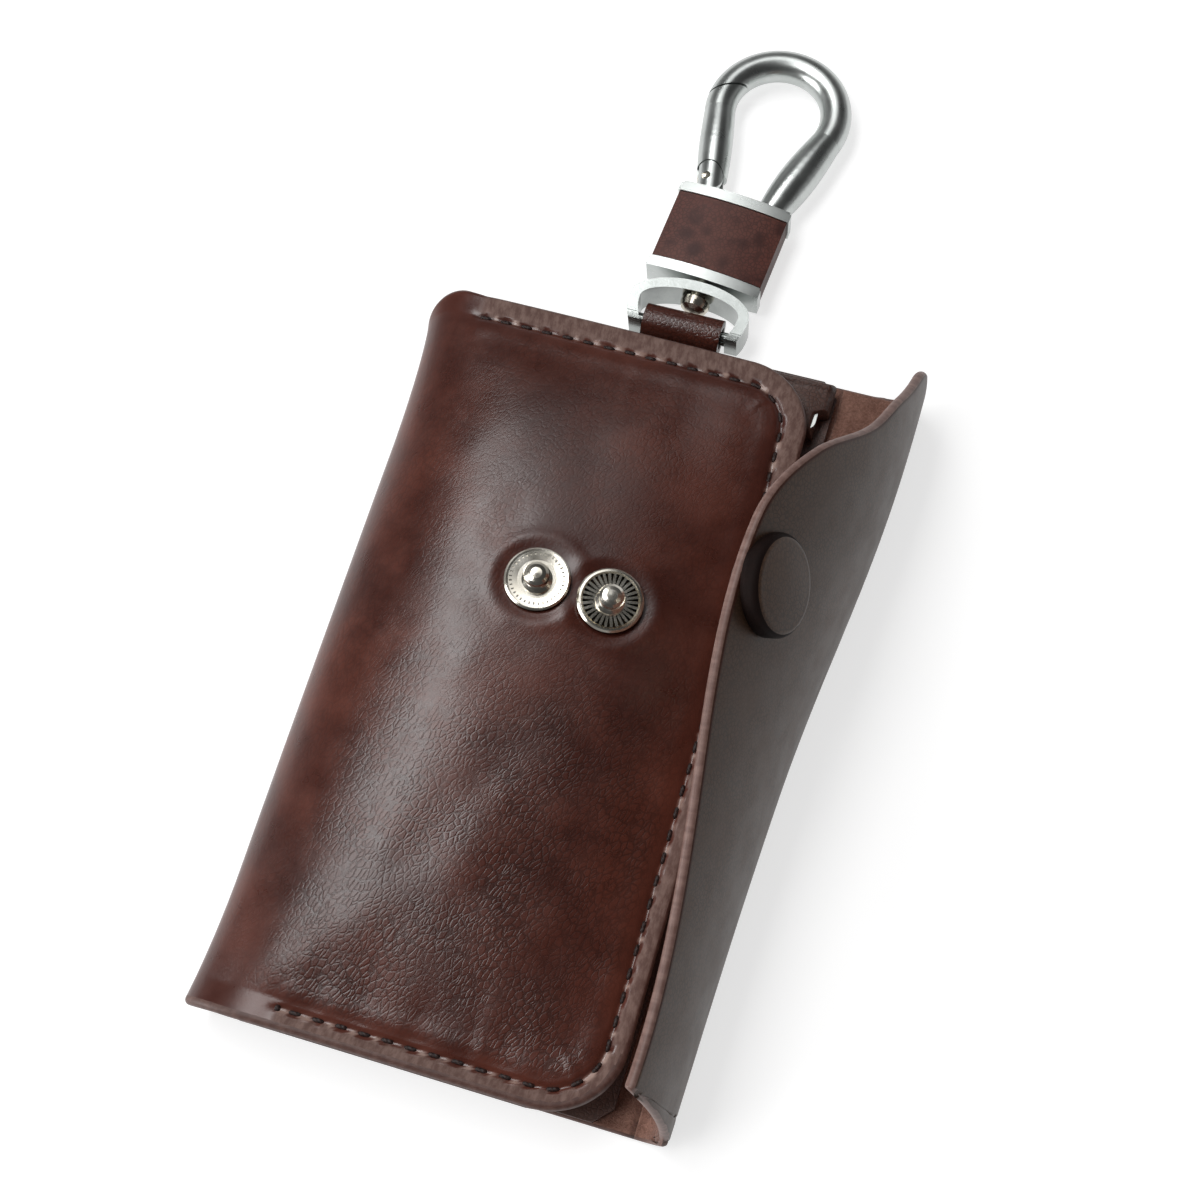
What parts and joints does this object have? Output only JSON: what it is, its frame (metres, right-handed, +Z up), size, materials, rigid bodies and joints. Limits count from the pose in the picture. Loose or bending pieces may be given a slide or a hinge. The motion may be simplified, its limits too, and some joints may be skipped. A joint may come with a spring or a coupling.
{
  "type": "key case",
  "caption": "Leather key case on its back with an open snap flap, a puffed front with studs, a bar of swinging key hooks inside and a leather-wrapped carabiner on a swivel ring.",
  "frame": {"origin": "on the flat outer face of the back panel, at the middle of the case's length", "axes": "+X runs across the case from the spine towards the flap, +Y along it towards the clip, +Z up from the back towards the front panel"},
  "size_m": [0.0764, 0.1708, 0.0439],
  "materials": {
    "outer_leather": "smooth waxed leather with a soft gloss",
    "flap_leather": "smooth waxed leather, raw suede on its inner side",
    "lining": "thin smooth leather",
    "clip_leather": "smooth leather band",
    "nickel": "polished nickel",
    "chrome": "polished chrome",
    "spring_steel": "bright spring steel"
  },
  "bodies": {
    "back": {"back_panel": "outer_leather", "back_lining": "lining", "flap_fold": "flap_leather", "key_bar": "chrome", "bar_rivets": "nickel", "hook_rivets": "nickel", "ring_tab": "outer_leather"},
    "spine": {"spine_leather": "outer_leather", "spine_lining": "lining"},
    "front": {"front_panel": "outer_leather", "front_lining": "lining", "stud_plain": "nickel", "stud_ribbed": "nickel", "stud_backs": "spring_steel"},
    "flap": {"flap_leather": "flap_leather", "snap_cap": "flap_leather", "snap_socket": "nickel", "snap_spring": "spring_steel"},
    "ring": {"swivel_ring": "chrome"},
    "clip": {"clip_body": "chrome", "clip_wrap": "clip_leather", "swivel_rivet": "chrome", "gate_pin": "nickel", "gate_spring": "spring_steel"},
    "gate": {"gate": "chrome"},
    "hook_1": {"key_hook_1": "chrome", "hook_spring_1": "spring_steel"},
    "hook_2": {"key_hook_2": "chrome", "hook_spring_2": "spring_steel"},
    "hook_3": {"key_hook_3": "chrome", "hook_spring_3": "spring_steel"},
    "hook_4": {"key_hook_4": "chrome", "hook_spring_4": "spring_steel"},
    "hook_5": {"key_hook_5": "chrome", "hook_spring_5": "spring_steel"},
    "hook_6": {"key_hook_6": "chrome", "hook_spring_6": "spring_steel"}
  },
  "joints": [
    {"name": "spine_fold", "type": "hinge", "parent": "back", "child": "spine", "pos_m": [-0.026, 0, 0], "axis": [0, -1, 0], "range_deg": [0, 45]},
    {"name": "front_fold", "type": "hinge", "parent": "spine", "child": "front", "pos_m": [-0.0249, 0, 0.0131], "axis": [0, -1, 0], "range_deg": [0, 120]},
    {"name": "flap_fold_hinge", "type": "hinge", "parent": "back", "child": "flap", "pos_m": [0.0357, 0, 0.008], "axis": [0, -1, 0], "range_deg": [-75, 53], "deforming": ["flap_fold"]},
    {"name": "ring_swing", "type": "hinge", "parent": "back", "child": "ring", "pos_m": [0.0047, 0.0599, 0.0032], "axis": [1, 0, 0], "range_deg": [-70, 75]},
    {"name": "clip_swivel", "type": "hinge", "parent": "ring", "child": "clip", "pos_m": [0.0047, 0.0599, 0.0032], "axis": [0.0872, 0.9962, 0], "continuous": true},
    {"name": "gate_hinge", "type": "hinge", "parent": "clip", "child": "gate", "pos_m": [0.00096, 0.08603, 0.0032], "axis": [0, 0, -1], "range_deg": [0, 26], "stiffness_Nm_per_rad": 0.05, "springref_deg": -17.19},
    {"name": "hook_swing_1", "type": "hinge", "parent": "back", "child": "hook_1", "pos_m": [-0.0168, 0.0502, 0.0038], "axis": [0, 0, 1], "range_deg": [-20, 5]},
    {"name": "hook_swing_2", "type": "hinge", "parent": "back", "child": "hook_2", "pos_m": [-0.0092, 0.0502, 0.0038], "axis": [0, 0, 1], "range_deg": [-5, 5]},
    {"name": "hook_swing_3", "type": "hinge", "parent": "back", "child": "hook_3", "pos_m": [-0.0016, 0.0502, 0.0038], "axis": [0, 0, 1], "range_deg": [-5, 5]},
    {"name": "hook_swing_4", "type": "hinge", "parent": "back", "child": "hook_4", "pos_m": [0.006, 0.0502, 0.0038], "axis": [0, 0, 1], "range_deg": [-5, 5]},
    {"name": "hook_swing_5", "type": "hinge", "parent": "back", "child": "hook_5", "pos_m": [0.0136, 0.0502, 0.0038], "axis": [0, 0, 1], "range_deg": [-5, 5]},
    {"name": "hook_swing_6", "type": "hinge", "parent": "back", "child": "hook_6", "pos_m": [0.0212, 0.0502, 0.0038], "axis": [0, 0, 1], "range_deg": [-5, 20]}
  ],
  "couplings": [
    {"joint": "front_fold", "follows": "spine_fold", "ratio": 2.6667}
  ]
}
